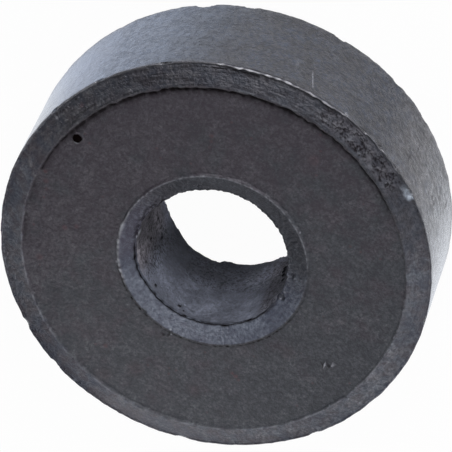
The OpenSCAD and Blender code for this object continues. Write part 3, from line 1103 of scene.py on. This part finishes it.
def ferrite_material(sizes, finish):
    """Sintered ferrite: matt, mottled and finely pitted, smoother on the walls that the die rubbed."""
    material, tree = new_material("sintered_ferrite")
    on = Surface(tree, sizes)
    nicked, scuffed, lines_and_flash_shadow, pale = bevel_marks(on)
    sides, bounce_light, soot, sooty = bore_light_and_dirt(on)

    tone = base_tone(on) * (1 - 0.4 * nicked) * (1 - 0.45 * scuffed) * (1 + 0.9 * pale)
    tone = speckled(on, 1.015 * tone - 0.34 * on.flat_face * (tone - 0.97).most(0))
    # Painted light in the bore: its wall lighter away from the middle of its far side, and much lighter low
    # down as painted bounce light; soot darkens it
    tone = tone * (1 + 0.3 * on.bore_wall * sides) * (1 + 2.2 * bounce_light) * (1 - 0.5 * soot)
    smear = on.noise(0.45, 3, 0.65, 16).step(0.36, 0.62)
    tone = on.shaded(tone, BORE_PAINTED_SHADING) * (1 - sooty * (0.46 - 0.62 * smear))

    paint = base_paint(on, finish, bounce_light, sooty)
    paint = on.mix(1.0, paint, on.vector(tone, tone, tone), "MULTIPLY")
    aside = abs(on.x + 1.317 + 0.217 * (on.z - 7.05)).step(0.06, 0.02)
    scratch = aside * on.outer_wall * on.level(6.0, 6.3, 7.7, 8.0) * on.toward(265, 4, 2)
    paint = on.mix(0.4 * scratch, paint, finish.lip)
    # The casts are kept off the near side of the bore's bevel, where shade is painted
    tinted = (1 - on.walls) * (1 - 0.72 * on.bore_bevel * on.toward(262, 55, 40))
    paint = on.mix(tinted, paint, tint(on, finish), "ADD")
    # Painted shade and shadow lines, soot, nicks and scuffs all take the near black
    deep = on.deep.most(lines_and_flash_shadow).most(0.35 * soot).most(0.62 * nicked).most(0.25 * scuffed)
    for share, colour_over in marks_over(on, finish, deep):
        paint = on.mix(share, paint, colour_over)

    rough, coat = gloss(on, deep)
    # Metallic over the dark paint also darkens the near side of the bore's bevel and a patch of the rim, as
    # painted shade
    metallic = deep.most(0.42 * on.bore_bevel * on.toward(262, 50, 30))
    metallic = metallic.most(0.40 * on.rim * on.toward(60, 10, 12))
    relief = 0.030 * on.grain + 0.016 * on.dust - 0.02 * on.dark_speck
    relief = relief + 0.03 * on.rim * on.rings + 0.003 * on.walls * on.drag
    bump = on.add("Bump", None, {"Strength": 1.0, "Distance": MM, "Height": relief})
    shader = on.add("BsdfPrincipled", None, {
        "Base Color": paint, "Roughness": rough, "Normal": bump, "Metallic": metallic, "IOR": 1.7,
        "Coat Weight": coat, "Coat Roughness": 0.19})
    on.add("OutputMaterial", None, {"Surface": shader})
    return material


# ---------------------------------------------------------------- the stage

# The camera aims a little off the ring's middle, in mm
AIM = (0.1, -0.05, 4.47)

# Soft lamps: name, angle round the ring and height above the floor in degrees, distance and width
# in mm, how bright a white card facing it turns
LAMPS = (
    ("key", 277, 26, 150, 80, 0.80),
    ("far", 90, 34, 60, 35, 0.38),
    ("right", 180, 30, 70, 35, 0.15),
    ("top", 270, 65, 150, 60, 0.08),
    ("low", 215, 28, 150, 80, 0.10),
)
LAMP_TINT = (0.955, 0.94, 1)

# How bright the white tent is low down and overhead
HORIZON, ZENITH = 1.0, 0.08

# Half the floor's side, in metres, and how bright it is
FLOOR_HALF = 0.6
FLOOR_GLOW = 0.97
# Colours of the pale floor in reflections: nearly all round, and toward the window's side
GLOW_TINT = (0.90, 0.935, 1.0)
WINDOW_TINT = (0.74, 0.82, 1.0)
WINDOW_SIDE = (0.743, -0.669, 0)
# The side toward which reflections see the floor dark, from where this starts to where it is full, in mm
DARK_SIDE = (-0.26, -0.966, 0)
DARK_STARTS, DARK_FULL = 9, 15


def place_camera(scene, settings):
    """The camera, aimed at the ring's middle from above its -Y side, and rolled."""
    data = bpy.data.cameras.new("camera")
    data.lens = settings.lens_mm
    camera = new_object("camera", data)
    turn = Matrix.Rotation(settings.tilt, 4, "X") @ Matrix.Rotation(settings.roll, 4, "Z")
    away = Matrix.Translation((0, 0, settings.distance * MM))
    camera.matrix_world = Matrix.Translation(Vector(AIM) * MM) @ turn @ away
    scene.camera = camera


def add_lamp(name, angle_deg, up_deg, distance, width, level):
    """A square lamp that faces the ring. Its power comes from how bright it makes a white card."""
    data = bpy.data.lights.new(name, "AREA")
    data.size = width * MM
    data.color = LAMP_TINT
    data.energy = level * math.pi ** 2 * (distance * MM) ** 2
    lamp = new_object(name, data)
    a, e = math.radians(angle_deg), math.radians(up_deg)
    away = Vector((math.cos(a) * math.cos(e), math.sin(a) * math.cos(e), math.sin(e)))
    turn = away.to_track_quat("Z", "Y").to_matrix().to_4x4()
    middle = Vector((0, 0, RING_H / 2 * MM))
    lamp.matrix_world = Matrix.Translation(middle + away * distance * MM) @ turn


def light_world(scene):
    """A white tent, bright low down and dimmer overhead. The camera sees it white."""
    world = bpy.data.worlds.new("tent")
    world.use_nodes = True
    graph = Graph(world.node_tree)
    direction = graph.add("TexCoord", None, None, "Generated")
    up = graph.add("SeparateXYZ", None, {0: direction}, 2)
    level = ZENITH + (HORIZON - ZENITH) * up.step(0.25, 0.0)
    seen = graph.add("LightPath", None, None, "Is Camera Ray")
    strength = seen + (1 - seen) * level
    background = graph.add("Background", None, {"Color": (1, 1, 1, 1), "Strength": strength})
    graph.add("OutputWorld", None, {"Surface": background})
    scene.world = world


def add_floor(sizes):
    """The pale floor. The camera sees it nearly white, with the ring's faint shadow, and so do
    reflections, except of the floor under the ring and on its dark side."""
    mesh = bpy.data.meshes.new("floor")
    corners = [(x * FLOOR_HALF, y * FLOOR_HALF, 0) for x, y in ((-1, -1), (1, -1), (1, 1), (-1, 1))]
    mesh.from_pydata(corners, [], [(0, 1, 2, 3)])
    floor = new_object("floor", mesh)
    material, tree = new_material("floor")
    graph = Graph(tree)
    seen = graph.add("LightPath", None, None, "Is Camera Ray")
    glossy, through = graph.outputs(seen, "Is Glossy Ray", "Is Transmission Ray")
    place = graph.add("TexCoord", None, None, "Object")
    from_axis = graph.vectors("LENGTH", place, output=1)
    lit = from_axis.step((sizes.outer_r - 0.5) * MM, (sizes.outer_r + 0.5) * MM)
    toward_dark = graph.vectors("DOT_PRODUCT", place, DARK_SIDE, output=1)
    lit = lit * toward_dark.step(DARK_FULL * MM, DARK_STARTS * MM)
    bearing = graph.vectors("DOT_PRODUCT", graph.vectors("NORMALIZE", place), WINDOW_SIDE, output=1)
    tint = graph.mix(bearing.step(0.70, 0.95), GLOW_TINT, WINDOW_TINT)
    diffuse = graph.add("BsdfDiffuse", None, {"Color": (0.8, 0.8, 0.8, 1)})
    glow = graph.add("Emission", None, {"Color": graph.mix(seen, tint, (1, 1, 1)), "Strength": 1.0})
    share = seen.most(glossy.most(through) * lit) * FLOOR_GLOW
    surface = graph.add("MixShader", None, {0: share, 1: diffuse, 2: glow})
    graph.add("OutputMaterial", None, {"Surface": surface})
    mesh.materials.append(material)


# ---------------------------------------------------------------- operators


class RING_OT_body(bpy.types.Operator):
    """Build the ferrite ring and its finish"""

    bl_idname = "ring.body"
    bl_label = "Ferrite Ring"

    def execute(self, context):
        sizes = context.scene.ring_sizes
        mesh = ring_mesh(sizes)
        mesh.materials.append(ferrite_material(sizes, context.scene.ring_finish))
        make_piece("ring_magnet", mesh)
        return {"FINISHED"}


class RING_OT_stage(bpy.types.Operator):
    """Build the floor, the camera and the lights"""

    bl_idname = "ring.stage"
    bl_label = "Stage"

    def execute(self, context):
        place_camera(context.scene, context.scene.ring_stage)
        light_world(context.scene)
        for lamp in LAMPS:
            add_lamp(*lamp)
        add_floor(context.scene.ring_sizes)
        context.scene.view_settings.view_transform = "Standard"
        return {"FINISHED"}


class RING_PT_panel(bpy.types.Panel):
    """Buttons for the ring and its stage"""

    bl_label = "Ring Magnet"
    bl_space_type = "VIEW_3D"
    bl_region_type = "UI"
    bl_category = "Ring Magnet"

    def draw(self, context):
        self.layout.operator("ring.body")
        self.layout.operator("ring.stage")


CLASSES = (RingSizes, FerriteFinish, StageSettings, RING_OT_body, RING_OT_stage, RING_PT_panel)
SETTINGS = {"ring_sizes": RingSizes, "ring_finish": FerriteFinish, "ring_stage": StageSettings}


def register():
    """Add the classes and the scene's settings."""
    for cls in CLASSES:
        bpy.utils.register_class(cls)
    for name, group in SETTINGS.items():
        setattr(bpy.types.Scene, name, PointerProperty(type=group))


def unregister():
    """Take them away again."""
    for name in SETTINGS:
        delattr(bpy.types.Scene, name)
    for cls in reversed(CLASSES):
        bpy.utils.unregister_class(cls)


def main():
    """Build everything."""
    register()
    bpy.ops.ring.body()
    bpy.ops.ring.stage()


if __name__ == "__main__":
    main()
